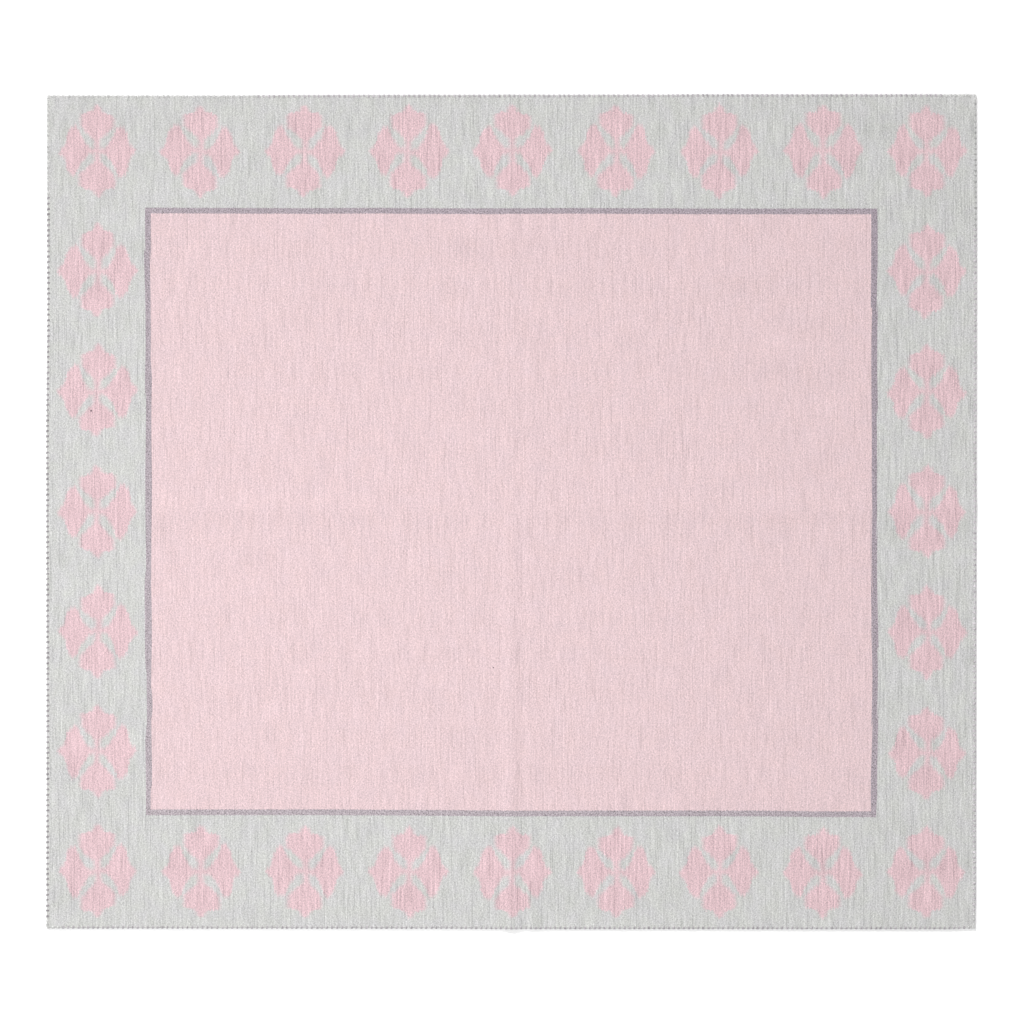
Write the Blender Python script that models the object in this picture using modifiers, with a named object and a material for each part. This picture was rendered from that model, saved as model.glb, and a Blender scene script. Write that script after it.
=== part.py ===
"""A flatweave rug lying flat: one woven cloth with its uneven outline and the low ridges of its two folds.

Metres, +Z up, +X along the long side. The origin is the middle of the underside.
"""

import math
from typing import NamedTuple

import bmesh
import bpy

RUG = "flatweave_rug"
CLOTH = "rug_cloth"

# Sizes of the cloth
LONG_SIDE = 2.740
SHORT_SIDE = 2.460
THICKNESS = 0.005
CORNER_ROUNDING = 0.006
CORNER_SEGMENTS = 3
RIM_ROUNDING = 0.0018
RIM_SEGMENTS = 2
RIM_ANGLE = math.radians(60)

# The border is wider at the front and back than at the sides. The guard line lies between it and the field
SIDE_BORDER_WIDTH = 0.293
END_BORDER_WIDTH = 0.335
GUARD_LINE_WIDTH = 0.017

# Where the cloth is plain, its mesh has a section about this often
PLAIN_STEP = 0.120


class EdgeSection(NamedTuple):
    """How far one side of the outline stands out from the plain rectangle, at a share of that side's length."""

    share: float
    outward: float


# Long sides run from -X to +X, short sides from -Y to +Y
FRONT_EDGE = (
    EdgeSection(share=0.00, outward=-0.0015),
    EdgeSection(share=0.42, outward=-0.0010),
    EdgeSection(share=0.48, outward=0.0002),
    EdgeSection(share=0.97, outward=0.0004),
    EdgeSection(share=1.00, outward=-0.0020),
)
BACK_EDGE = (
    EdgeSection(share=0.00, outward=-0.0041),
    EdgeSection(share=0.20, outward=-0.0041),
    EdgeSection(share=0.27, outward=-0.0010),
    EdgeSection(share=0.66, outward=0.0000),
    EdgeSection(share=0.70, outward=0.0012),
    EdgeSection(share=1.00, outward=0.0010),
)
LEFT_EDGE = (
    EdgeSection(share=0.00, outward=0.0010),
    EdgeSection(share=0.25, outward=0.0002),
    EdgeSection(share=0.60, outward=0.0012),
    EdgeSection(share=0.72, outward=-0.0020),
    EdgeSection(share=1.00, outward=-0.0012),
)
RIGHT_EDGE = (
    EdgeSection(share=0.00, outward=-0.0040),
    EdgeSection(share=0.03, outward=-0.0018),
    EdgeSection(share=0.40, outward=-0.0004),
    EdgeSection(share=0.85, outward=0.0012),
    EdgeSection(share=1.00, outward=0.0004),
)


class RidgeSection(NamedTuple):
    """The height of a fold's ridge at one place along it."""

    place: float
    height: float


class Fold(NamedTuple):
    """A low ridge that folding has left in the cloth. Its two flanks have unlike widths."""

    runs_along_x: bool
    crest: float
    low_flank: float
    high_flank: float
    sections: tuple[RidgeSection, ...]


FOLDS = (
    # Across the rug, from the short side on the left to the one on the right
    Fold(
        runs_along_x=True,
        crest=0.006,
        low_flank=0.042,
        high_flank=0.070,
        sections=(
            RidgeSection(place=-1.37, height=0.0008),
            RidgeSection(place=-0.90, height=0.0022),
            RidgeSection(place=-0.55, height=0.0020),
            RidgeSection(place=-0.10, height=0.0010),
            RidgeSection(place=0.45, height=0.0018),
            RidgeSection(place=1.00, height=0.0020),
            RidgeSection(place=1.37, height=0.0012),
        ),
    ),
    # Along the middle, from front to back, sharpest at the front
    Fold(
        runs_along_x=False,
        crest=-0.006,
        low_flank=0.044,
        high_flank=0.034,
        sections=(
            RidgeSection(place=-1.23, height=0.0030),
            RidgeSection(place=-0.70, height=0.0026),
            RidgeSection(place=-0.05, height=0.0018),
            RidgeSection(place=0.15, height=0.0008),
            RidgeSection(place=0.75, height=0.0014),
            RidgeSection(place=1.23, height=0.0018),
        ),
    ),
    # A second, weaker ridge close to the right of it
    Fold(
        runs_along_x=False,
        crest=0.056,
        low_flank=0.028,
        high_flank=0.040,
        sections=(
            RidgeSection(place=-1.23, height=0.0010),
            RidgeSection(place=0.00, height=0.0007),
            RidgeSection(place=1.23, height=0.0008),
        ),
    ),
)
SHARES_OF_A_FLANK = (1.0, 0.7, 0.35)


class Zone(NamedTuple):
    """A colour zone of the cloth."""

    name: str
    colour: tuple[float, float, float, float]
    roughness: float


BORDER_ZONE = Zone("border_wefts", (0.651, 0.656, 0.643, 1.0), 0.92)
GUARD_LINE_ZONE = Zone("guard_line_wefts", (0.445, 0.391, 0.436, 1.0), 0.92)
FIELD_ZONE = Zone("field_wefts", (0.823, 0.638, 0.661, 1.0), 0.92)
ZONES = (BORDER_ZONE, GUARD_LINE_ZONE, FIELD_ZONE)


def between(value, start, end):
    """The share of the way from start to end at which value lies, kept from 0 to 1."""
    return min(1.0, max(0.0, (value - start) / (end - start)))


def read_sections(sections, place):
    """The second column of a table of sections at this value of the first, joined by straight stretches."""
    for (start, start_value), (end, end_value) in zip(sections, sections[1:]):
        if place <= end:
            share = between(place, start, end)
            return start_value + (end_value - start_value) * share
    return sections[-1][1]


def flank_height(offset, low_flank, high_flank):
    """The height of a ridge of height 1 at this distance from its crest, as a soft bell."""
    flank = low_flank if offset < 0 else high_flank
    share = min(1.0, abs(offset) / flank)
    return 0.5 * (1 + math.cos(math.pi * share))


def ridge_height(x, y):
    """How far the folds lift the cloth at this point of the plain rectangle."""
    height = 0.0
    for fold in FOLDS:
        across, along = (y, x) if fold.runs_along_x else (x, y)
        profile = flank_height(across - fold.crest, fold.low_flank, fold.high_flank)
        height = max(height, profile * read_sections(fold.sections, along))
    return height


def mesh_sections(side, folds, zone_lines):
    """The places along one side of the rectangle at which the cloth's mesh has a section."""
    places = {-side / 2, side / 2, *zone_lines}
    for fold in folds:
        places.add(fold.crest)
        for share in SHARES_OF_A_FLANK:
            places.add(fold.crest - share * fold.low_flank)
            places.add(fold.crest + share * fold.high_flank)
    for start, end in zip(sorted(places), sorted(places)[1:]):
        steps = math.ceil((end - start) / PLAIN_STEP)
        places.update(start + (end - start) * step / steps for step in range(1, steps))
    return sorted(places)


def zone_lines_of(side, border):
    """Where the guard line's two edges cross a side of this length, inside a border of this width."""
    outer = side / 2 - border
    inner = outer - GUARD_LINE_WIDTH
    return (-outer, -inner, inner, outer)


def outline_point(x, y):
    """Moves a point of the plain rectangle to its place in the uneven outline."""
    share_x = between(x, -LONG_SIDE / 2, LONG_SIDE / 2)
    share_y = between(y, -SHORT_SIDE / 2, SHORT_SIDE / 2)
    left = read_sections(LEFT_EDGE, share_y)
    right = read_sections(RIGHT_EDGE, share_y)
    front = read_sections(FRONT_EDGE, share_x)
    back = read_sections(BACK_EDGE, share_x)
    return (
        x - left * (1 - share_x) + right * share_x,
        y - front * (1 - share_y) + back * share_y,
    )


def zone_of(x, y):
    """The index of the colour zone that holds this point of the plain rectangle."""
    past_side_border = LONG_SIDE / 2 - abs(x) - SIDE_BORDER_WIDTH
    past_end_border = SHORT_SIDE / 2 - abs(y) - END_BORDER_WIDTH
    past_border = min(past_side_border, past_end_border)
    if past_border < 0:
        return ZONES.index(BORDER_ZONE)
    if past_border < GUARD_LINE_WIDTH:
        return ZONES.index(GUARD_LINE_ZONE)
    return ZONES.index(FIELD_ZONE)


def zone_material(zone):
    """A plain woven finish in the zone's colour."""
    material = bpy.data.materials.new(zone.name)
    material.use_nodes = True
    material.diffuse_color = zone.colour
    shader = material.node_tree.nodes["Principled BSDF"]
    shader.inputs["Base Color"].default_value = zone.colour
    shader.inputs["Roughness"].default_value = zone.roughness
    shader.inputs["Metallic"].default_value = 0.0
    return material


def centre_outline(mesh):
    """Moves the points so that the middle of the outline's box is at the origin."""
    for axis in (0, 1):
        places = [vertex.co[axis] for vertex in mesh.verts]
        middle = (min(places) + max(places)) / 2
        for vertex in mesh.verts:
            vertex.co[axis] -= middle


def upper_surface():
    """The cloth's upper surface as a mesh: a grid set to its sections, then shaped by outline and folds."""
    columns = mesh_sections(
        LONG_SIDE,
        [fold for fold in FOLDS if not fold.runs_along_x],
        zone_lines_of(LONG_SIDE, SIDE_BORDER_WIDTH),
    )
    rows = mesh_sections(
        SHORT_SIDE,
        [fold for fold in FOLDS if fold.runs_along_x],
        zone_lines_of(SHORT_SIDE, END_BORDER_WIDTH),
    )
    across, along = len(columns) - 1, len(rows) - 1
    mesh = bmesh.new()
    bmesh.ops.create_grid(mesh, x_segments=across, y_segments=along, size=0.5)
    for vertex in mesh.verts:
        vertex.co.x = columns[round((vertex.co.x + 0.5) * across)]
        vertex.co.y = rows[round((vertex.co.y + 0.5) * along)]
    for face in mesh.faces:
        middle = face.calc_center_median()
        face.material_index = zone_of(middle.x, middle.y)
    for vertex in mesh.verts:
        x, y = vertex.co.x, vertex.co.y
        vertex.co = (*outline_point(x, y), THICKNESS + ridge_height(x, y))
    corners = [vertex for vertex in mesh.verts if len(vertex.link_edges) == 2]
    bmesh.ops.bevel(
        mesh,
        geom=corners,
        offset=CORNER_ROUNDING,
        segments=CORNER_SEGMENTS,
        profile=0.5,
        affect="VERTICES",
    )
    centre_outline(mesh)
    return mesh


def build_cloth():
    """The rug's cloth: its upper surface made solid downwards, with a rounded rim."""
    surface = upper_surface()
    mesh = bpy.data.meshes.new(CLOTH)
    surface.to_mesh(mesh)
    surface.free()
    cloth = bpy.data.objects.new(CLOTH, mesh)
    for zone in ZONES:
        mesh.materials.append(zone_material(zone))
    solid = cloth.modifiers.new("cloth_thickness", "SOLIDIFY")
    solid.thickness = THICKNESS
    solid.offset = -1.0
    solid.use_even_offset = True
    rim = cloth.modifiers.new("rounded_rim", "BEVEL")
    rim.width = RIM_ROUNDING
    rim.segments = RIM_SEGMENTS
    rim.limit_method = "ANGLE"
    rim.angle_limit = RIM_ANGLE
    mesh.shade_smooth()
    return cloth


def main():
    """Clears the scene and builds the rug in a collection of its own."""
    for item in list(bpy.data.objects):
        bpy.data.objects.remove(item, do_unlink=True)
    collection = bpy.data.collections.new(RUG)
    bpy.context.scene.collection.children.link(collection)
    collection.objects.link(build_cloth())


main()
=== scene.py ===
"""The looks of a flatweave rug: its woven cloth, the yarn sewn round its rim and a pale studio.

Metres, +Z up, +X along the long side and +Y towards the back edge. The cloth lies at Z 0.
"""

from __future__ import annotations

import logging
import math
from dataclasses import dataclass
from enum import Enum
from itertools import pairwise
from typing import Any, Mapping, NamedTuple, Sequence, TypeVar, Union

import bpy
import numpy as np
from bpy.types import ColorRamp, Material, NodeSocket, Object
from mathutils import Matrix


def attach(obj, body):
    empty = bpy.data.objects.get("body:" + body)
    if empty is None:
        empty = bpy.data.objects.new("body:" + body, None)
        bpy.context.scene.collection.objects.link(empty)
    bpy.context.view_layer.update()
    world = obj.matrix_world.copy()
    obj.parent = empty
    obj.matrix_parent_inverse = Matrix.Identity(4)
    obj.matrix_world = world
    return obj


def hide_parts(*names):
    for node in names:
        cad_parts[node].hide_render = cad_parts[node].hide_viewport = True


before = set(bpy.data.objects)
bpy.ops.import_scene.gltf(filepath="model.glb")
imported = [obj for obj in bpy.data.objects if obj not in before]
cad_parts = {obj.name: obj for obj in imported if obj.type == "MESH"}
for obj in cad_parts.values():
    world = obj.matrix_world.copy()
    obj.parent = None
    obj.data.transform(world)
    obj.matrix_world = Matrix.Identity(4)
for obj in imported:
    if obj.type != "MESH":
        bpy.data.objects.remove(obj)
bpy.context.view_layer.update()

log = logging.getLogger("flatweave_rug")

BODY = "root"
CLOTH_NODE = "rug_cloth"

Pair = tuple[float, float]
Sections = tuple[Pair, ...]
Colour = tuple[float, float, float]
Array = np.ndarray
Input = Union["Socket", float, Sequence[float]]
Row = TypeVar("Row", bound=tuple)


def table(kind: type[Row], *rows: Sequence[Any]) -> tuple[Row, ...]:
    """A table whose rows are of one kind, which names its columns."""
    return tuple(kind(*row) for row in rows)


def link(item: Object) -> Object:
    """Puts an object in the scene and hands it back."""
    bpy.context.scene.collection.objects.link(item)
    return item


# Shader maths


class Socket:
    """One output of a shader node. Arithmetic on it adds Math nodes to its material."""

    def __init__(self, bench: NodeBench, output: NodeSocket) -> None:
        """Keeps the output and the bench that its material is made on."""
        self.bench = bench
        self.output = output

    def math(self, operation: str, *others: Input) -> Socket:
        """This value and the others put through one Math node."""
        return self.bench.math(operation, self, *others)

    def __add__(self, other: Input) -> Socket:
        """The sum of the two."""
        return self.math("ADD", other)

    __radd__ = __add__

    def __sub__(self, other: Input) -> Socket:
        """This value less the other."""
        return self.math("SUBTRACT", other)

    def __rsub__(self, other: Input) -> Socket:
        """The other value less this one."""
        return self.bench.math("SUBTRACT", other, self)

    def __mul__(self, other: Input) -> Socket:
        """The product of the two."""
        return self.math("MULTIPLY", other)

    __rmul__ = __mul__

    def __truediv__(self, other: Input) -> Socket:
        """This value divided by the other."""
        return self.math("DIVIDE", other)

    def __mod__(self, other: Input) -> Socket:
        """What is left of this value past whole multiples of the other, never below 0."""
        return self.math("FLOORED_MODULO", other)

    def __gt__(self, other: Input) -> Socket:
        """1 where this value is above the other, else 0."""
        return self.math("GREATER_THAN", other)

    def __abs__(self) -> Socket:
        """This value without its sign."""
        return self.math("ABSOLUTE")

    def __floor__(self) -> Socket:
        """The whole number at or below this value."""
        return self.math("FLOOR")

    def beside(self, name: str) -> Socket:
        """Another output of the same node."""
        return Socket(self.bench, self.output.node.outputs[name])

    def rise(self, start: float, end: float) -> Socket:
        """A smooth step from 0 at start to 1 at end."""
        return self.bench.node(
            "ShaderNodeMapRange",
            {"interpolation_type": "SMOOTHSTEP"},
            {"Value": self, "From Min": start, "From Max": end},
        )


class NodeBench:
    """One material and the node tree that its finish is made with."""

    def __init__(self, name: str) -> None:
        """Starts a material with one Principled shader.

        Args:
            name: The material's name.
        """
        self.material = bpy.data.materials.new(name)
        self.material.use_nodes = True
        self.tree = self.material.node_tree
        self.shader = self.tree.nodes["Principled BSDF"]

    def node(
        self,
        kind: str,
        settings: Mapping[str, Any],
        inputs: Mapping[Union[str, int], Input],
        output: Union[str, int] = 0,
    ) -> Socket:
        """Adds one node.

        Args:
            kind: The node's type.
            settings: Its own settings, which are set first. A ramp's stops are places with colours.
            inputs: Values or links by socket, by its number, identifier or name.
            output: The socket that is handed back.

        Returns:
            The node's output.
        """
        added = self.tree.nodes.new(kind)
        for name, value in settings.items():
            if name == "stops":
                self._set_stops(added.color_ramp, value)
            else:
                setattr(added, name, value)
        for name, value in inputs.items():
            self.feed(self._socket(added.inputs, name), value)
        return Socket(self, self._socket(added.outputs, output))

    @staticmethod
    def _socket(sockets: Sequence[NodeSocket], key: Union[str, int]) -> NodeSocket:
        """The socket with this number, identifier or name."""
        if isinstance(key, int):
            return sockets[key]
        return next(socket for socket in sockets if key in (socket.identifier, socket.name))

    @staticmethod
    def _set_stops(ramp: ColorRamp, stops: Sequence[tuple[float, Colour]]) -> None:
        """Gives a ramp its stops, joined by straight stretches.

        Args:
            ramp: The ramp.
            stops: The place and the colour of each stop.
        """
        while len(ramp.elements) < len(stops):
            ramp.elements.new(1.0)
        for element, (place, colour) in zip(ramp.elements, sorted(stops)):
            element.position = place
            element.color = (*colour, 1.0)

    def feed(self, socket: NodeSocket, value: Input) -> None:
        """Links a socket to another one, or sets its value.

        Args:
            socket: The socket.
            value: What it is fed with.
        """
        if isinstance(value, Socket):
            self.tree.links.new(value.output, socket)
        elif socket.type == "RGBA" and len(value) == 3:
            socket.default_value = (*value, 1.0)
        else:
            socket.default_value = value

    def math(self, operation: str, *values: Input) -> Socket:
        """Adds one Math node over these values."""
        return self.node("ShaderNodeMath", {"operation": operation}, dict(enumerate(values)))

    def uv(self, layer: str) -> tuple[Socket, Socket]:
        """Reads a layer of the mesh.

        Args:
            layer: The layer's name.

        Returns:
            The two coordinates that it holds.
        """
        place = self.node("ShaderNodeUVMap", {"uv_map": layer}, {})
        first = self.node("ShaderNodeSeparateXYZ", {}, {"Vector": place}, "X")
        return first, first.beside("Y")

    def pair(self, first: Input, second: Input) -> Socket:
        """Two values as one vector."""
        return self.node("ShaderNodeCombineXYZ", {}, {"X": first, "Y": second}, "Vector")

    def swing(self, first: Input, second: Input, detail: float = 0.0) -> Socket:
        """Smooth noise over two coordinates, mostly from -0.5 to 0.5.

        Args:
            first: The first coordinate, in waves.
            second: The second coordinate, in waves.
            detail: How many finer layers of noise lie on the first.

        Returns:
            The noise as a value.
        """
        noise = self.node(
            "ShaderNodeTexNoise",
            {"noise_dimensions": "2D"},
            {"Vector": self.pair(first, second), "Scale": 1.0, "Detail": detail},
            "Fac",
        )
        return noise * 2 - 1

    def dice(self, first: Input, second: Input) -> tuple[Socket, Socket, Socket]:
        """Rolls dice for each pair of whole numbers.

        Args:
            first: The first number.
            second: The second number.

        Returns:
            Three unlike random values from 0 to 1.
        """
        colour = self.node(
            "ShaderNodeTexWhiteNoise",
            {"noise_dimensions": "2D"},
            {"Vector": self.pair(first, second)},
            "Color",
        )
        red = self.node("ShaderNodeSeparateColor", {}, {"Color": colour}, "Red")
        return red, red.beside("Green"), red.beside("Blue")

    def mix(self, share: Input, first: Input, second: Input) -> Socket:
        """A colour that goes from the first to the second as share goes from 0 to 1."""
        return self.node(
            "ShaderNodeMix",
            {"data_type": "RGBA"},
            {"Factor_Float": share, "A_Color": first, "B_Color": second},
            "Result_Color",
        )

    def shade(self, colour: Socket, tone: Input) -> Socket:
        """A colour made lighter or darker by this factor."""
        return self.node(
            "ShaderNodeVectorMath", {"operation": "SCALE"}, {"Vector": colour, "Scale": tone}
        )

    def finish(self, colour: Input, roughness: Input, height: Socket, sheen: float) -> Material:
        """Feeds the shader, as for dull wool.

        Args:
            colour: The base colour.
            roughness: The roughness.
            height: The surface's fine relief, in millimetres.
            sheen: The strength of the fibres' sheen.

        Returns:
            The finished material.
        """
        relief = {"Strength": 1.0, "Distance": 0.001, "Height": height}
        inputs = {
            "Base Color": colour,
            "Roughness": roughness,
            "Normal": self.node("ShaderNodeBump", {}, relief),
            "Specular IOR Level": 0.25,
            "Sheen Weight": sheen,
            "Sheen Roughness": 0.5,
        }
        for name, value in inputs.items():
            self.feed(self.shader.inputs[name], value)
        return self.material


# The rug's plan


class Side(Enum):
    """A side of the rug, anticlockwise from the front, with the direction out of it in the plan."""

    FRONT = (0, -1)
    RIGHT = (1, 0)
    BACK = (0, 1)
    LEFT = (-1, 0)


@dataclass(frozen=True)
class Fold:
    """A low ridge that folding has left in the cloth, with unlike flanks."""

    runs_along_x: bool
    crest: float
    low_flank: float
    high_flank: float
    # The ridge's height at places along it
    sections: Sections

    def lift(self, places: Array) -> Array:
        """How far this fold lifts the cloth.

        Args:
            places: Pairs of coordinates in the plain rectangle.

        Returns:
            The lift at each of them.
        """
        x, y = places[..., 0], places[..., 1]
        across, along = (y, x) if self.runs_along_x else (x, y)
        offset = across - self.crest
        flank = np.where(offset < 0, self.low_flank, self.high_flank)
        share = np.clip(np.abs(offset) / flank, 0.0, 1.0)
        return 0.5 * (1 + np.cos(np.pi * share)) * read_sections(self.sections, along)


def read_sections(sections: Sections, places: Array) -> Array:
    """The second column of a table of sections at these values of the first."""
    firsts, seconds = zip(*sections)
    return np.interp(places, firsts, seconds)


# How far each side, and the guard line along it, stands out from its plain place, at shares of
# the side. Long sides run from -X to +X, short sides from -Y to +Y
EDGES = {
    Side.FRONT: (
        (0.00, -0.0025), (0.42, -0.0020), (0.48, -0.0008), (0.97, -0.0006), (1.00, -0.0028),
    ),
    Side.BACK: (
        (0.00, -0.0041), (0.20, -0.0041), (0.27, -0.0024), (0.66, -0.0014), (0.70, -0.0002),
        (1.00, -0.0004),
    ),
    Side.LEFT: (
        (0.00, 0.0004), (0.25, -0.0005), (0.60, 0.0005), (0.72, -0.0027), (1.00, -0.0018),
    ),
    Side.RIGHT: (
        (0.00, -0.0058), (0.03, -0.0036), (0.40, -0.0022), (0.85, -0.0006), (1.00, -0.0014),
    ),
}
GUARD_LINES = {
    Side.FRONT: (
        (0.13, -0.0017), (0.30, -0.0019), (0.40, -0.0004), (0.51, 0.0020), (0.62, 0.0015),
        (0.77, 0.0018), (0.83, 0.0040),
    ),
    Side.BACK: (
        (0.13, -0.0001), (0.29, -0.0014), (0.35, -0.0003), (0.46, -0.0023), (0.56, -0.0008),
        (0.72, -0.0026), (0.83, -0.0026),
    ),
    Side.LEFT: (
        (0.17, 0.0001), (0.27, -0.0023), (0.31, -0.0008), (0.41, 0.0011), (0.46, -0.0002),
        (0.69, 0.0002), (0.74, 0.0025), (0.84, 0.0027),
    ),
    Side.RIGHT: (
        (0.17, -0.0021), (0.22, 0.0002), (0.31, 0.0023), (0.41, 0.0002), (0.46, -0.0015),
        (0.50, -0.0001), (0.55, -0.0019), (0.60, -0.0004), (0.69, -0.0012), (0.84, 0.0005),
    ),
}
FOLDS = (
    # Across the rug, from the short side on the left to the one on the right
    Fold(
        runs_along_x=True,
        crest=0.006,
        low_flank=0.042,
        high_flank=0.070,
        sections=(
            (-1.37, 0.0010), (-0.90, 0.0029), (-0.55, 0.0026), (-0.10, 0.0013), (0.45, 0.0023),
            (1.00, 0.0026), (1.37, 0.0016),
        ),
    ),
    # Along the middle, from front to back, sharpest at the front
    Fold(
        runs_along_x=False,
        crest=-0.006,
        low_flank=0.036,
        high_flank=0.040,
        sections=(
            (-1.23, 0.0046), (-0.70, 0.0039), (-0.05, 0.0024), (0.15, 0.0010), (0.75, 0.0017),
            (1.23, 0.0022),
        ),
    ),
    # A second, weaker ridge close to the right of it
    Fold(
        runs_along_x=False,
        crest=0.056,
        low_flank=0.028,
        high_flank=0.040,
        sections=((-1.23, 0.0012), (0.00, 0.0008), (1.23, 0.0008)),
    ),
)


@dataclass(frozen=True)
class RugPlan:
    """The plain rectangle that the rug was woven to, and where its points lie now."""

    long_side: float = 2.740
    short_side: float = 2.460
    thickness: float = 0.005
    side_border: float = 0.293
    end_border: float = 0.335
    guard_line_width: float = 0.017
    # How far the middle of the pattern lies off the middle of the outline
    middle_drift: Pair = (0.004, -0.002)

    @property
    def half(self) -> Pair:
        """Half the long and half the short side."""
        return self.long_side / 2, self.short_side / 2

    @property
    def outer_line(self) -> Pair:
        """How far the guard line's outer edge is from the middle, along both sides."""
        return self.half[0] - self.side_border, self.half[1] - self.end_border

    @property
    def inner_line(self) -> Pair:
        """How far the guard line's inner edge is from the middle, along both sides."""
        return tuple(outer - self.guard_line_width for outer in self.outer_line)

    def lay(self, places: Array, height: Union[Array, float]) -> Array:
        """Lays points of the plain rectangle where they are in the uneven rug.

        Args:
            places: Pairs of coordinates in the plain rectangle.
            height: How high over the underside the points are.

        Returns:
            The points, lifted by the folds.
        """
        lift = np.max([fold.lift(places) for fold in FOLDS], axis=0)
        moved = [places[..., axis] + self._drift(places, axis) for axis in (0, 1)]
        return np.stack([*moved, height + lift], axis=-1)

    def _drift(self, places: Array, axis: int) -> Array:
        """How far points have moved along one axis, by the sides and guard lines at its two ends.

        Args:
            places: Pairs of coordinates in the plain rectangle.
            axis: 0 for the long side and 1 for the short one.

        Returns:
            The move of each point.
        """
        low, high = ((Side.LEFT, Side.RIGHT), (Side.FRONT, Side.BACK))[axis]
        place, share = places[..., axis], places[..., 1 - axis] / (2 * self.half[1 - axis]) + 0.5
        half, line = self.half[axis], self.outer_line[axis]
        stations = (-half, -line, 0.0, line, half)
        moves = (
            -read_sections(EDGES[low], share),
            -read_sections(GUARD_LINES[low], share),
            np.full_like(share, self.middle_drift[axis]),
            read_sections(GUARD_LINES[high], share),
            read_sections(EDGES[high], share),
        )
        drift = moves[0]
        for (start, end), (before, after) in zip(pairwise(stations), pairwise(moves)):
            drift = drift + (after - before) * np.clip((place - start) / (end - start), 0.0, 1.0)
        return drift


# The woven pattern


@dataclass(frozen=True)
class PetalledMotif:
    """A motif of four petals that repeats along the border, charted in straight stretches."""

    pitch: Pair = (0.3052, 0.3539)
    first: Pair = (0.0022, 0.0013)
    # The chart's range: the longest distance, and the half widths from least to most
    reach: float = 150.0
    least: float = -20.0
    most: float = 80.0
    # Half a petal's width at distances from the motif's middle, in millimetres
    end_petal: Sections = (
        (0, 7.5), (24, 7.5), (32, 9), (37, 12.5), (42, 18), (49, 27), (58, 36), (66, 42.5),
        (72, 50), (103, 50.5), (108, 47), (112, 36), (114.5, 18), (121, 13), (130, 8.5),
        (137, 0), (145, -20),
    )
    side_petal: Sections = (
        (0, 8), (21, 9), (27, 12.5), (33, 20), (39, 29), (45, 37), (50, 46), (54, 55), (58, 66),
        (61, 73), (68, 75.5), (75, 74), (82, 67), (90, 54), (94.5, 32), (98, 21), (105, 14),
        (112, 8), (117, 0), (125, -20),
    )

    def depth(self, x: Socket, y: Socket) -> Socket:
        """How far inside a petal's edge a place of the plan lies.

        Args:
            x: The place along the long side.
            y: The place along the short side.

        Returns:
            The depth in metres, below 0 between the petals.
        """
        # How far off the middle of the nearest motif the place is
        off_x = (x - self.first[0]).math("PINGPONG", self.pitch[0] / 2)
        off_y = (y - self.first[1]).math("PINGPONG", self.pitch[1] / 2)
        side = self._petal(self.side_petal, off_x, off_y)
        return self._petal(self.end_petal, off_y, off_x).math("MAXIMUM", side)

    def _petal(self, sections: Sections, along: Socket, across: Socket) -> Socket:
        """How far inside one petal's edge a place lies, by a ramp that holds the petal's chart.

        Args:
            sections: The petal's chart.
            along: How far along the petal the place is.
            across: How far off the petal's middle line it is.

        Returns:
            The depth in metres, below 0 outside.
        """
        span = self.most - self.least
        stops = [
            (distance / self.reach, ((half_width - self.least) / span,) * 3)
            for distance, half_width in sections
        ]
        share = along * (1000 / self.reach)
        chart = along.bench.node("ShaderNodeValToRGB", {"stops": stops}, {"Fac": share}, "Color")
        return chart * (span / 1000) + self.least / 1000 - across


# Stray dark fibres caught in the weave: the place of each in the plan, and its reach
SPECKS = ((-1.2373, 0.2983, 0.0032), (-0.0574, -0.4571, 0.0022))


class Sway(NamedTuple):
    """A smooth unevenness: the lengths of its waves both ways, its strength and where it starts."""

    across: float
    along: float
    strength: float = 1.0
    start_across: float = 0.0
    start_along: float = 0.0
    detail: float = 0.0

    def over(self, across: Socket, along: Socket) -> Socket:
        """The unevenness at these places."""
        waves = (across / self.across + self.start_across, along / self.along + self.start_along)
        return across.bench.swing(*waves, self.detail) * self.strength


class Weave(NamedTuple):
    """Where a place lies in the weave, by ribs and beads, and how far off their middles it is."""

    x: Socket
    y: Socket
    ribs: Socket
    rib: Socket
    off_rib: Socket
    bead: Socket
    off_bead: Socket


class Zones(NamedTuple):
    """1 in a zone of the pattern and 0 outside it. The motifs' petals lie in the border."""

    border: Socket
    line: Socket
    petal: Socket


class ToneChange(NamedTuple):
    """How strongly one cause changes the yarn's tone all over, and how much more in each zone."""

    plain: float
    border: float = 0.0
    line: float = 0.0
    petal: float = 0.0

    def over(self, zones: Zones) -> Input:
        """The strength in these zones."""
        return sum((zone * more for zone, more in zip(zones, self[1:]) if more), self.plain)


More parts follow.
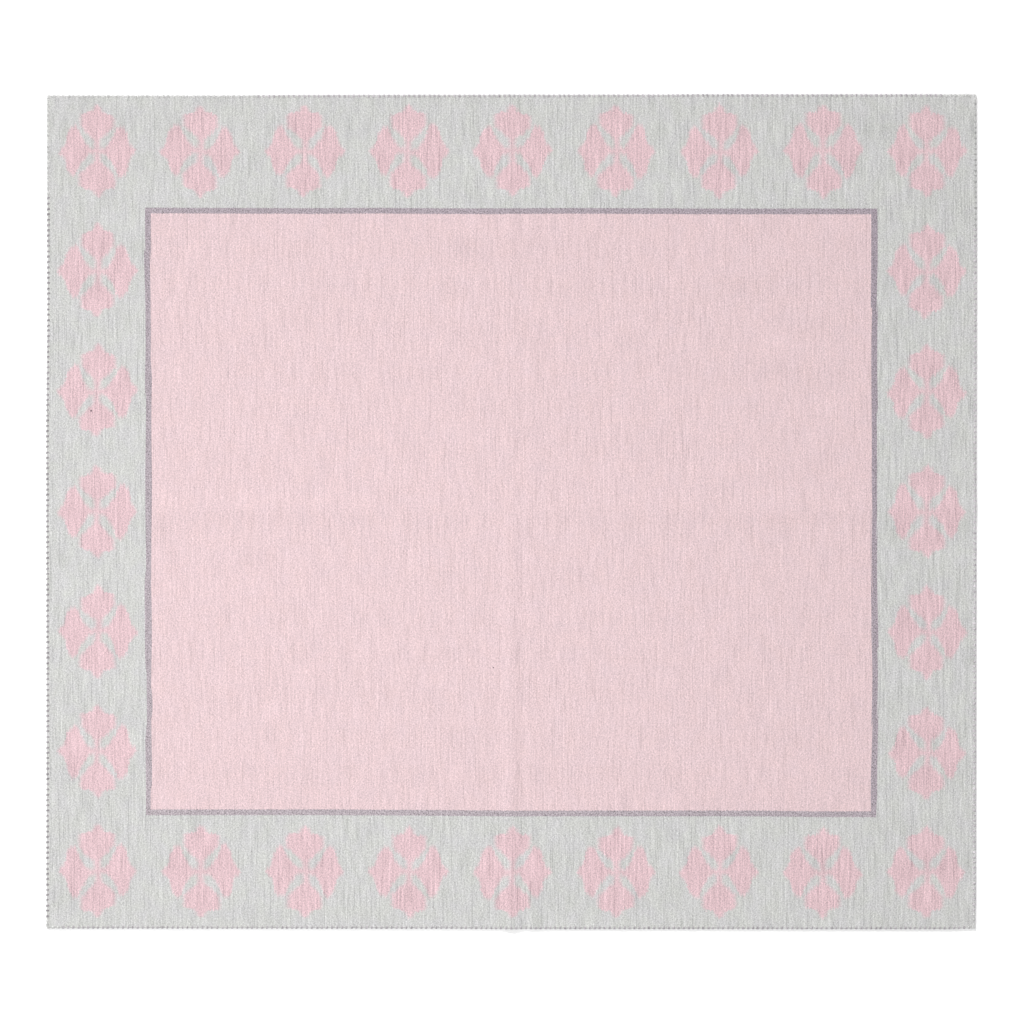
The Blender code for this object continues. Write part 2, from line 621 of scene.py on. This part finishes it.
@dataclass(frozen=True)
class WovenFinish:
    """Wool wefts in four colours, packed so tight over the warps that only their ribs show."""

    plan: RugPlan
    motif: PetalledMotif
    name: str = "woven_wool"
    cool_border: Colour = (0.508, 0.504, 0.506)
    warm_border: Colour = (0.508, 0.511, 0.493)
    cool_field: Colour = (0.630, 0.488, 0.513)
    warm_field: Colour = (0.643, 0.487, 0.499)
    # How far the dye's unevenness goes from the cool to the warm colour
    border_mottle: float = 1.4
    field_mottle: float = 0.6
    petals: Colour = (0.611, 0.440, 0.468)
    speck: Colour = (0.05, 0.04, 0.05)
    # The guard line is paler towards the front left corner and deeper towards the back right one
    pale_line: Colour = (0.391, 0.343, 0.368)
    deep_line: Colour = (0.311, 0.265, 0.302)
    line_depth: float = 0.39
    line_depth_by_x: float = 1 / 8.5
    line_depth_by_y: float = 1 / 3.9
    upright_depth: float = 0.22
    upright_depth_by_x: float = 1 / 7.8
    upright_blend: float = 0.004

    rib_pitch: float = 0.00416
    weft_pitch: float = 0.0021
    fine_wander: Sway = Sway(0.012, 0.30, 0.55, start_along=3.1)
    broad_wander: Sway = Sway(0.09, 0.40, 1.2, start_across=7.7)
    weft_wave: Sway = Sway(0.06, 0.025, 1.2, start_along=1.3)
    drift_x: Sway = Sway(0.13, 0.13, 0.007)
    drift_y: Sway = Sway(0.10, 0.15, 0.008, start_across=9.1)
    # Between its end columns the motifs stand a little to the left of their even places
    end_column: float = 1.2207
    column_bow: float = 0.0017
    # How far a petal's edge may stray at a bead and at a whole rib, and how it fades out
    bead_stray: Pair = (0.006, 0.005)
    rib_stray: float = 0.006
    petal_fade: Pair = (-0.010, 0.009)

    # Unevenness of single ribs, of ribs by turns, of groups of ribs, of fibres and of the dye
    single: Sway = Sway(1 / 0.731, 0.09)
    turn: Sway = Sway(1 / 0.35, 0.010, start_across=3.7)
    group: Sway = Sway(0.013, 0.15, start_across=5.2)
    fuzz: Sway = Sway(0.0044, 0.0060)
    mottle: Sway = Sway(0.050, 0.050, start_along=4.0, detail=2.0)
    slack: Sway = Sway(1 / 0.877, 0.12, start_across=0.3)
    # How far off a rib's crown a seam and a gap sink in, and how slack the wefts of a gap are
    seam_reach: Pair = (0.28, 0.50)
    gap_reach: Pair = (0.15, 0.45)
    gap_slack: Pair = (0.26, 0.48)

    # The border's ribs are less even than the field's, most of all on the right
    single_tone: ToneChange = ToneChange(0.074, border=0.058, petal=0.035)
    single_tone_by_x: float = 0.014
    turn_tone: float = 0.17
    group_tone: ToneChange = ToneChange(0.004, border=0.012)
    fuzz_tone: ToneChange = ToneChange(0.23, border=0.05, line=0.30)
    bead_tone: ToneChange = ToneChange(0.08, line=0.22)
    clump_tone: float = 0.09
    mottle_tone: float = 0.005
    # Painted shade: how much darker the seams and the gaps between the ribs are painted, where the
    # grooves lie
    seam_painted_shade: float = 0.12
    gap_painted_shade: ToneChange = ToneChange(0.12, border=0.09)
    whole_tone: float = 1.009

    # Relief in millimetres
    rib_relief: float = 0.24
    single_relief: float = 0.06
    bead_relief: float = 0.13
    group_relief: float = 0.10
    fuzz_relief: float = 0.20
    gap_relief: float = 0.15
    roughness: float = 0.90
    fuzz_roughness: float = 0.06
    seam_roughness: float = 0.03
    sheen: float = 0.12

    def material(self) -> Material:
        """Makes the finish.

        Returns:
            The material.
        """
        weave = self._weave()
        x, y, ribs, rib, off_rib, bead, off_bead = weave
        bench = x.bench
        tone_dice, x_dice, y_dice = bench.dice(rib, bead)
        zones = self._zones(weave, x_dice, y_dice)

        single = self.single.over(rib, y)
        turn = (rib % 2 - 0.5) * self.turn.over(rib, y)
        group = self.group.over(x, y)
        fuzz = self.fuzz.over(x - y, x + y)
        mottle = self.mottle.over(x, y)
        clump_dice = bench.dice(rib, math.floor(bead / 2))[0]
        from_crown = abs(off_rib)
        seam = from_crown.rise(*self.seam_reach)
        slack = self.slack.over(math.floor(ribs + 0.5), y)
        gap = slack.rise(*self.gap_slack) * from_crown.rise(*self.gap_reach)

        single_tone = self.single_tone.over(zones) + zones.border * x * self.single_tone_by_x
        tone = 1.0 + single * single_tone + turn * self.turn_tone + mottle * self.mottle_tone
        tone += group * self.group_tone.over(zones) + fuzz * self.fuzz_tone.over(zones)
        tone += (tone_dice - 0.5) * self.bead_tone.over(zones)
        tone += (clump_dice - 0.5) * self.clump_tone
        # Painted shade: the seams and the gaps between the ribs are painted darker
        tone *= (1 - seam * self.seam_painted_shade) * (1 - gap * self.gap_painted_shade.over(zones))

        relief = self._arch(off_rib) * (self.rib_relief + single * self.single_relief)
        relief += self._arch(off_bead) * self.bead_relief + group * self.group_relief
        relief += fuzz * self.fuzz_relief - gap * self.gap_relief
        return bench.finish(
            colour=bench.shade(self._colour(x, y, zones, mottle), tone * self.whole_tone),
            roughness=self.roughness + fuzz * self.fuzz_roughness - seam * self.seam_roughness,
            height=relief,
            sheen=self.sheen,
        )

    def _weave(self) -> Weave:
        """Starts the material, with where each place lies in the weave.

        Returns:
            The place by ribs, which wander, and by beads, as each weft skips every second warp.
        """
        x, y = NodeBench(self.name).uv(ClothMesh.PLACE_LAYER)
        wander = self.fine_wander.over(x, y) + self.broad_wander.over(x, y)
        ribs = x / self.rib_pitch + 0.5 + wander
        rib = math.floor(ribs)
        beads = y / self.weft_pitch + (rib % 2) * 0.5 + self.weft_wave.over(x, y)
        bead = math.floor(beads)
        return Weave(x, y, ribs, rib, ribs - rib - 0.5, bead, beads - bead - 0.5)

    def _zones(self, weave: Weave, x_dice: Socket, y_dice: Socket) -> Zones:
        """Finds the pattern's zones, whose edges step from rib to rib and from bead to bead.

        Args:
            weave: Where each place lies in the weave.
            x_dice: A random value of each bead, for a petal's edge along the long side.
            y_dice: Another one, for its edge along the short side.

        Returns:
            The zones.
        """
        x = weave.x - weave.off_rib * self.rib_pitch
        y = weave.y - weave.off_bead * self.weft_pitch
        border = self._past(x, y, self.plan.outer_line)
        line = self._past(x, y, self.plan.inner_line) - border
        bow = (self.end_column**2 - weave.x * weave.x) * self.column_bow
        rib_dice = x.bench.dice(weave.rib, 0.5)[0]
        x += self.drift_x.over(weave.x, weave.y) + bow + (x_dice - 0.5) * self.bead_stray[0]
        y += self.drift_y.over(weave.x, weave.y) + (y_dice - 0.5) * self.bead_stray[1]
        depth = self.motif.depth(x, y + (rib_dice - 0.5) * self.rib_stray)
        return Zones(border, line, border * depth.rise(*self.petal_fade))

    def _colour(self, x: Socket, y: Socket, zones: Zones, mottle: Socket) -> Socket:
        """The colour of the wefts.

        Args:
            x: The place in the plan, along the long side.
            y: The place along the short side.
            zones: The zones of the pattern.
            mottle: The unevenness of the dye.

        Returns:
            The colour.
        """
        mix = x.bench.mix
        upright = (abs(x) - self.plan.inner_line[0]).rise(-self.upright_blend, self.upright_blend)
        depth = self.line_depth + x * self.line_depth_by_x + y * self.line_depth_by_y
        depth += upright * (x * self.upright_depth_by_x + self.upright_depth)
        colour = mix(mottle * self.field_mottle + 0.5, self.cool_field, self.warm_field)
        colour = mix(zones.line, colour, mix(depth, self.pale_line, self.deep_line))
        border = mix(mottle * self.border_mottle + 0.5, self.cool_border, self.warm_border)
        colour = mix(zones.border, colour, border)
        colour = mix(zones.petal, colour, self.petals)
        for speck_x, speck_y, reach in SPECKS:
            away = (x - speck_x) * (x - speck_x) + (y - speck_y) * (y - speck_y)
            spot = 1 - away.rise((reach * 0.5) ** 2, reach**2)
            colour = mix(spot, colour, self.speck)
        return colour

    @staticmethod
    def _arch(offset: Socket) -> Socket:
        """The round of a rib or bead, 1 at its middle and 0 at its edges."""
        return 1 - offset * offset * 4

    @staticmethod
    def _past(x: Socket, y: Socket, line: Pair) -> Socket:
        """1 outside the rectangle with these half sides and 0 inside it."""
        return (abs(x) - line[0]).math("MAXIMUM", abs(y) - line[1]) > 0.0


@dataclass(frozen=True)
class YarnFinish:
    """Plied wool yarn, as sewn round the rim."""

    name: str
    colour: Colour
    ply_pitch: float = 0.0045
    fibre_length: float = 0.0006
    clump_length: float = 0.004
    fibre_tone: float = 0.22
    clump_tone: float = 0.16
    sheen: float = 0.15

    def material(self) -> Material:
        """Makes the finish from the yarn's own coordinates, along it and round it.

        Returns:
            The material.
        """
        bench = NodeBench(self.name)
        length, turn = bench.uv(EdgeStitches.YARN_LAYER)
        tone, _ = bench.uv(EdgeStitches.TONE_LAYER)
        ply = (length / self.ply_pitch + turn * 2).math("PINGPONG", 0.5) * 2
        # The tone, which is random from stitch to stitch and partly painted light from side to
        # side, also moves the noise along
        fibre_waves = (length / self.fibre_length + turn * 9, turn * 14 + tone * 31)
        fibre = bench.swing(*fibre_waves, detail=2.0)
        clump = bench.swing(length / self.clump_length + tone * 57, turn * 2)
        # The grooves between the plies are painted darker, as painted shade where the plies meet
        shade = tone * (0.80 + ply.rise(0.0, 0.7) * 0.22)
        shade *= 1 + fibre * self.fibre_tone + clump * self.clump_tone
        base = bench.mix(clump + 0.5, self.colour, tuple(part * 1.08 for part in self.colour))
        return bench.finish(
            colour=bench.shade(base, shade),
            roughness=0.88 + fibre * 0.10,
            height=ply.rise(0.0, 0.8) * 0.35 + fibre * 0.12,
            sheen=self.sheen,
        )


# The cloth


@dataclass
class RugPiece:
    """A piece of the rug that is laid out on its plan."""

    plan: RugPlan

    def _piece(
        self, name: str, points: Array, faces: list[list[int]], layers: Mapping[str, Array]
    ) -> Object:
        """Makes a piece as one smooth mesh.

        Args:
            name: The piece's name.
            points: The vertices.
            faces: The vertex numbers round each face.
            layers: Pairs of coordinates for each face's corners in turn, by the layer's name.

        Returns:
            The piece, linked to the scene.
        """
        mesh = bpy.data.meshes.new(name)
        mesh.from_pydata(points.reshape(-1, 3).tolist(), [], faces)
        for layer, pairs in layers.items():
            values = pairs.astype(np.float32).ravel()
            mesh.uv_layers.new(name=layer).uv.foreach_set("vector", values)
        mesh.shade_smooth()
        mesh.validate()
        return link(bpy.data.objects.new(name, mesh))

    def dress(self, piece: Object, material: Material, slot: str) -> None:
        """Finishes a piece and lets it ride on the rug's body.

        Args:
            piece: The piece.
            material: Its finish.
            slot: Not used.
        """
        piece.data.materials.append(material)
        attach(piece, BODY)
        log.info("%s: %d faces", piece.name, len(piece.data.polygons))


def quads(number: Array, closed: bool = False) -> list[list[int]]:
    """Joins a grid of vertices by faces.

    Args:
        number: The vertex numbers. Axes before the last two hold separate grids.
        closed: Whether the grid's last axis runs round into itself.

    Returns:
        The vertex numbers round each face.
    """
    if closed:
        number = np.concatenate([number, number[..., :1]], axis=-1)
    low, high = number[..., :-1, :], number[..., 1:, :]
    corners = (low[..., :-1], high[..., :-1], high[..., 1:], low[..., 1:])
    return np.stack(corners, axis=-1).reshape(-1, 4).tolist()


class RimSection(NamedTuple):
    """One ring round the cloth's rim: how far inside the outline it runs, and its height."""

    inset: float
    height: float


@dataclass
class ClothMesh(RugPiece):
    """The woven cloth as one closed mesh: ribbed upper side, rounded rim and underside."""

    PLACE_LAYER = "woven_place"

    columns: int = 656
    rows: int = 132
    under_columns: int = 8
    under_rows: int = 4
    # Extra rows close to the front and back, by how far they are from the first
    end_rows: tuple[float, ...] = (0.004, 0.010)
    rim: tuple[RimSection, ...] = table(
        RimSection,
        (0.0060, 0.0050), (0.0031, 0.0050), (0.0026, 0.0049), (0.0022, 0.0043), (0.0021, 0.0017),
        (0.0056, 0.0006),
    )
    corner_tuck: float = 0.95
    single_relief: float = 0.00013
    group_relief: float = 0.00008
    wave_relief: float = 0.00028
    # Over how many rows and columns the relief fades out towards the rim
    rim_fade: int = 3
    seed: int = 4127

    def build(self, name: str) -> Object:
        """Makes the cloth's object.

        Args:
            name: The object's name.

        Returns:
            The object, linked to the scene.
        """
        grid = np.stack(np.meshgrid(self._columns(), self._rows(), indexing="ij"), axis=-1)
        shape, places = grid.shape[:2], [grid.reshape(-1, 2)]
        height = self.plan.thickness + self._relief(shape)
        points = [self.plan.lay(grid, height).reshape(-1, 3)]
        number = np.arange(height.size).reshape(shape)
        faces = quads(number)

        ring = self._perimeter(number)
        edge, outward = places[0][ring], self._outward()
        count = number.size
        for section in self.rim[1:]:
            places.append(edge + outward * (self.rim[0].inset - section.inset))
            points.append(self.plan.lay(places[-1], section.height))
            following = np.arange(count, count + len(ring))
            count += len(ring)
            faces += quads(np.stack([ring, following]), closed=True)
            ring = following

        under_places, under_faces = self._underside(grid, ring, count)
        places.append(under_places)
        points.append(self.plan.lay(under_places, 0.0))
        faces += under_faces
        layers = {self.PLACE_LAYER: np.concatenate(places)[np.concatenate(faces)]}
        return self._piece(name, np.concatenate(points), faces, layers)

    def _columns(self) -> Array:
        """The places of the mesh's columns along the long side."""
        half = self.plan.half[0] - self.rim[0].inset
        return np.linspace(-half, half, self.columns + 1)

    def _rows(self) -> Array:
        """The places of the mesh's rows along the short side.

        Returns:
            The places, closer together at both ends.
        """
        half = self.plan.half[1] - self.rim[0].inset
        inner = half - self.end_rows[-1] * 2
        plain = np.linspace(-inner, inner, self.rows + 1 - 2 * (len(self.end_rows) + 1))
        ends = np.array((0.0, *self.end_rows))
        return np.concatenate([ends - half, plain, half - ends[::-1]])

    def _relief(self, shape: tuple[int, int]) -> Array:
        """The unevenness of the upper side: single ribs, groups of ribs and soft waves.

        Args:
            shape: The number of columns and of rows.

        Returns:
            The height to add, which fades out towards the rim.
        """
        rng = np.random.default_rng(self.seed)
        single = soften(rng.standard_normal(shape), across=0, along=5)
        group = soften(rng.standard_normal(shape), across=3, along=14)
        wave = soften(rng.standard_normal(shape), across=260, along=14)
        relief = single * self.single_relief + group * self.group_relief + wave * self.wave_relief
        for axis, count in enumerate(shape):
            from_rim = np.minimum(np.arange(count), np.arange(count)[::-1]) / self.rim_fade
            relief = relief * np.expand_dims(np.clip(from_rim, 0, 1), 1 - axis)
        return relief

    @staticmethod
    def _perimeter(number: Array) -> Array:
        """The grid's outermost vertices, anticlockwise from the front left corner."""
        sides = (number[:-1, 0], number[-1, :-1], number[:0:-1, -1], number[0, :0:-1])
        return np.concatenate(sides)

    def _outward(self) -> Array:
        """The direction out of the rug all round its perimeter.

        Returns:
            The direction at each vertex, drawn in at the corners.
        """
        runs = (self.columns, self.rows, self.columns, self.rows)
        outward = np.repeat(np.array([side.value for side in Side], float), runs, axis=0)
        for start in np.cumsum((0, *runs[:-1])):
            outward[start] = (outward[start] + outward[start - 1]) * self.corner_tuck
        return outward

    def _underside(self, grid: Array, ring: Array, count: int) -> tuple[Array, list[list[int]]]:
        """The underside, in larger faces that meet every vertex of the last ring.

        Args:
            grid: The plan's places over the upper side's columns and rows.
            ring: The vertex numbers of the last ring.
            count: How many vertices there are before the underside's own.

        Returns:
            Its vertices' places in the plan, and its faces.
        """
        shape = grid.shape[:2]
        number = np.full(shape, -1)
        inside = np.zeros(shape, bool)
        across, along = self.under_columns, self.under_rows
        inside[across:-1:across, along:-1:along] = True
        number[inside] = count + np.arange(inside.sum())
        number.reshape(-1)[self._perimeter(np.arange(number.size).reshape(shape))] = ring
        faces = []
        for column in range(0, self.columns, across):
            for row in range(0, self.rows, along):
                cell = self._perimeter(number[column : column + across + 1, row : row + along + 1])
                faces.append(cell[cell >= 0][::-1].tolist())
        return grid[inside], faces


def soften(field: Array, across: int, along: int) -> Array:
    """Blurs random numbers over a grid, and scales them to a spread of 1.

    Args:
        field: One number for each column and row.
        across: How many times neighbouring columns are blended.
        along: How many times neighbouring rows are blended.

    Returns:
        The blurred numbers.
    """
    for axis, times in ((0, across), (1, along)):
        for _ in range(times):
            field = (np.roll(field, 1, axis) + 2 * field + np.roll(field, -1, axis)) / 4
    return field / field.std()


# The stitches round the rim


class YarnShade(Enum):
    """The two yarns that the rim is sewn with."""

    PLUM = "plum"
    PALE = "pale"


class StitchRun(NamedTuple):
    """A run of stitches along one side, from one place to another, in one yarn at one tone."""

    side: Side
    start: float
    end: float
    shade: YarnShade
    tone: float
    width: float = 1.0
    reach: float = 1.0


YARNS = {
    YarnShade.PLUM: YarnFinish("plum_yarn", (0.368, 0.345, 0.364)),
    YarnShade.PALE: YarnFinish("pale_yarn", (0.59, 0.59, 0.58)),
}
# A run's tone is partly painted light: the plum stitches are painted lighter on the right side,
# where their outer faces lie in shade, than on the lit left side
STITCH_RUNS = table(
    StitchRun,
    (Side.BACK, -1.3705, -0.750, YarnShade.PALE, 1.00),
    (Side.BACK, -0.750, 1.272, YarnShade.PLUM, 1.27, 0.82),
    (Side.BACK, 1.272, 1.3705, YarnShade.PALE, 1.00),
    (Side.LEFT, -1.225, -1.200, YarnShade.PALE, 0.95),
    (Side.LEFT, -1.200, 0.930, YarnShade.PLUM, 0.88, 0.75),
    (Side.LEFT, 0.930, 1.225, YarnShade.PALE, 0.95),
    (Side.FRONT, -1.3705, -1.326, YarnShade.PALE, 1.00),
    (Side.FRONT, -1.326, 1.345, YarnShade.PLUM, 1.15, 0.78),
    (Side.FRONT, 1.345, 1.3705, YarnShade.PALE, 1.00),
    (Side.RIGHT, -1.225, -1.180, YarnShade.PALE, 1.00),
    (Side.RIGHT, -1.180, 0.840, YarnShade.PLUM, 1.55, 0.75),
    (Side.RIGHT, 0.840, 1.140, YarnShade.PALE, 0.66, 0.70, 0.75),
    (Side.RIGHT, 1.140, 1.225, YarnShade.PALE, 0.95, 0.75, 0.75),
)


@dataclass
class EdgeStitches(RugPiece):
    """Overcast stitches of two strands each, which hold the cloth's rim all the way round."""

    YARN_LAYER = "yarn_place"
    TONE_LAYER = "yarn_tone"

    end_pitch: float = 0.0146
    side_pitch: float = 0.0156
    # How far the cloth's own edge lies inside the outline, which the stitches reach
    recess: float = 0.0024
    half_width: float = 0.00185
    half_thickness: float = 0.00110
    strand_offsets: tuple[float, ...] = (-0.0018, 0.0018)
    sides: int = 7
    # How thick a strand is at its last two sections, as a share of its middle
    tips: Pair = (0.45, 0.85)
    # Unevenness from stitch to stitch, in metres for their places and else as a share
    place_stray: float = 0.0007
    reach_stray: float = 0.09
    lean_stray: float = 0.5
    width_stray: float = 0.08
    tone_stray: float = 0.10
    # The way round the rim: how far outside the cloth's edge, how high and how far along it
    path: tuple[tuple[float, float, float], ...] = (
        (-0.0066, 0.0032, 0.0005), (-0.0056, 0.0047, 0.0005), (-0.0040, 0.0054, 0.0004),
        (-0.0020, 0.0055, 0.0002), (-0.0002, 0.0051, 0.0000), (0.0009, 0.0041, -0.0003),
        (0.0012, 0.0028, -0.0006), (0.0007, 0.0017, -0.0010), (-0.0008, 0.0012, -0.0015),
        (-0.0030, 0.0012, -0.0020), (-0.0046, 0.0018, -0.0024),
    )
    seed: int = 9083

    def build(self, shade: YarnShade, name: str) -> Object:
        """Makes all the stitches that are sewn with one yarn, as one mesh.

        Args:
            shade: The yarn.
            name: The object's name.

        Returns:
            The object, linked to the scene.
        """
        parts = []
        for index, run in enumerate(STITCH_RUNS):
            if run.shade is shade:
                rng = np.random.default_rng(self.seed + index)
                strands, lengths = self._strands(run, rng)
                tones = run.tone * (1 + self.tone_stray * rng.standard_normal(len(strands)))
                parts.append((strands, lengths, tones))
        return self._join(name, *map(np.concatenate, zip(*parts)))

    def _strands(self, run: StitchRun, rng: np.random.Generator) -> tuple[Array, Array]:
        """The strands of one run.

        Args:
            run: The run of stitches.
            rng: The run's source of unevenness.

        Returns:
            Points by strand, section and place round it, and each section's length along the yarn.
        """
        lengthwise = run.side in (Side.FRONT, Side.BACK)
        pitch = self.end_pitch if lengthwise else self.side_pitch
        count = max(1, round((run.end - run.start) / pitch))
        places = run.start + (np.arange(count) + 0.5) * (run.end - run.start) / count
        places = places + rng.normal(0.0, self.place_stray, count)
        reach = rng.normal(run.reach, self.reach_stray, count)
        lean = rng.normal(1.0, self.lean_stray, count)
        width = rng.normal(run.width, self.width_stray, count)

        path = np.array(self.path)
        outward = path[:, 0] * np.where(path[:, 0] < 0, reach[:, None], 1.0)
        height = np.broadcast_to(path[:, 1], outward.shape)
        slide = path[:, 2] * lean[:, None]

        step_out = np.gradient(outward, axis=1)
        step_up = np.gradient(height, axis=1)
        size = np.hypot(step_out, step_up)
        normal_out, normal_up = step_up / size, -step_out / size
        length = np.cumsum(size, axis=1)

        turn = np.arange(self.sides) / self.sides * 2 * np.pi
        middle = [1.0] * (len(path) - 2 * len(self.tips))
        swell = np.array((*self.tips, *middle, *self.tips[::-1]))[:, None]
        side_ways = np.cos(turn) * self.half_width * (swell * width[:, None, None])
        depth = np.sin(turn) * self.half_thickness * swell
        out = outward[:, :, None] - normal_out[:, :, None] * depth - self.recess
        up = height[:, :, None] - normal_up[:, :, None] * depth
        strands = []
        for offset in self.strand_offsets:
            shift = (slide + offset * width[:, None])[:, :, None] + side_ways
            strands.append(self._set_on_side(run.side, places[:, None, None] + shift, out, up))
        return np.concatenate(strands), np.concatenate([length] * len(self.strand_offsets))

    def _set_on_side(self, side: Side, along: Array, out: Array, up: Array) -> Array:
        """Puts points on the uneven rug.

        Args:
            side: The side that they are at.
            along: Their places along it.
            out: How far outside it they are.
            up: Their heights over the underside.

        Returns:
            The points.
        """
        ways = zip(side.value, self.plan.half)
        places = [along * (1 - abs(way)) + way * (half + out) for way, half in ways]
        return self.plan.lay(np.stack(places, axis=-1), up)

    def _join(self, name: str, points: Array, along: Array, tones: Array) -> Object:
        """Joins the strands into one mesh with the yarn's coordinates and tone as layers.

        Args:
            name: The object's name.
            points: Points by strand, section and place round it.
            along: The length along the yarn, by strand and section.
            tones: One tone for each strand.

        Returns:
            The object, linked to the scene.
        """
        strands, sections, sides = points.shape[:3]
        number = np.arange(strands * sections * sides).reshape(strands, sections, sides)
        caps = np.concatenate([number[:, 0], number[:, -1, ::-1]])

        share = np.arange(sides) / sides
        shape = (strands, sections - 1, sides)
        parts = (along[:, :-1, None], along[:, 1:, None], share, np.append(share[1:], 1.0))
        low, high, here, after = (np.broadcast_to(part, shape) for part in parts)
        yarn = np.stack([low, here, high, here, high, after, low, after], axis=-1).reshape(-1, 2)
        tone = [np.repeat(tones, (sections - 1) * sides * 4), np.tile(np.repeat(tones, sides), 2)]
        layers = {
            self.YARN_LAYER: np.concatenate([yarn, np.zeros((caps.size, 2))]),
            self.TONE_LAYER: np.concatenate(tone)[:, None] * (1, 0),
        }
        return self._piece(name, points, quads(number, closed=True) + caps.tolist(), layers)


# The studio


class LightKind(Enum):
    """How far off a light hangs, by Blender's name for it and for the setting that softens it."""

    FAR = ("SUN", "angle")
    NEAR = ("AREA", "size")


class StudioLight(NamedTuple):
    """A soft light, pointed at the middle of the rug. A far one counts by its direction alone."""

    kind: LightKind
    name: str
    place: tuple[float, float, float]
    softness: float
    strength: float


@dataclass(frozen=True)
class Studio:
    """A pale floor under soft light, seen from straight above."""

    floor_side: float = 90.0
    floor_drop: float = 0.0003
    floor_colour: Colour = (0.98, 0.98, 0.98)
    floor_roughness: float = 0.95
    floor_shine: float = 0.1
    sky: float = 0.42
    lights: tuple[StudioLight, ...] = table(
        StudioLight,
        (LightKind.NEAR, "near_lamp", (-1.42, -0.35, 4.0), 1.2, 66.3),
        (LightKind.FAR, "key_light", (-0.80, 1.25, 0.70), math.radians(14), 3.02),
        (LightKind.FAR, "fill_light", (0.9, -0.9, 0.8), math.radians(25), 1.10),
    )
    camera_height: float = 16.0
    camera_place: Pair = (0.0015, -0.0009)
    frame_width: float = 3.0136
    sensor: float = 36.0
    rug_top: float = 0.006

    def build(self) -> Object:
        """Makes the light, the camera and the floor, which is one large face.

        Returns:
            The floor.
        """
        self._light()
        self._camera()
        half = self.floor_side / 2
        mesh = bpy.data.meshes.new("studio_floor")
        corners = [(-half, -half), (half, -half), (half, half), (-half, half)]
        mesh.from_pydata([(x, y, -self.floor_drop) for x, y in corners], [], [(0, 1, 2, 3)])
        bench = NodeBench("pale_floor")
        bench.shader.inputs["Base Color"].default_value = (*self.floor_colour, 1.0)
        bench.shader.inputs["Roughness"].default_value = self.floor_roughness
        bench.shader.inputs["Specular IOR Level"].default_value = self.floor_shine
        mesh.materials.append(bench.material)
        return link(bpy.data.objects.new("studio_floor", mesh))

    def _light(self) -> None:
        """An even white sky and the lamps."""
        world = bpy.data.worlds.new("studio_sky")
        world.use_nodes = True
        background = world.node_tree.nodes["Background"]
        background.inputs["Color"].default_value = (1.0, 1.0, 1.0, 1.0)
        background.inputs["Strength"].default_value = self.sky
        bpy.context.scene.world = world
        for light in self.lights:
            kind, softness = light.kind.value
            data = bpy.data.lights.new(light.name, kind)
            data.energy = light.strength
            setattr(data, softness, light.softness)
            lamp = link(bpy.data.objects.new(light.name, data))
            lamp.location = light.place
            lamp.rotation_euler = lamp.location.to_track_quat("Z", "Y").to_euler()
            lamp.visible_camera = False

    def _camera(self) -> None:
        """A camera with a long lens, straight above the rug, and a plain view of colour."""
        data = bpy.data.cameras.new("overhead_camera")
        data.sensor_width = self.sensor
        data.lens = self.sensor * (self.camera_height - self.rug_top) / self.frame_width
        data.clip_end = self.camera_height * 3
        camera = link(bpy.data.objects.new("overhead_camera", data))
        camera.location = (*self.camera_place, self.camera_height)
        bpy.context.scene.camera = camera
        bpy.context.scene.view_settings.view_transform = "Standard"


def main() -> None:
    logging.basicConfig(level=logging.INFO, format="%(name)s: %(message)s")
    plan = RugPlan()
    floor = Studio().build()

    rug = ClothMesh(plan)
    cloth = rug.build("woven_rug")
    rug.dress(cloth, WovenFinish(plan, PetalledMotif()).material(), "woven_cloth")
    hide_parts(CLOTH_NODE)

    stitches = EdgeStitches(plan)
    for shade, finish in YARNS.items():
        yarn = stitches.build(shade, f"{shade.value}_edge_stitches")
        stitches.dress(yarn, finish.material(), "edge_yarn")


if __name__ == "__main__":
    main()
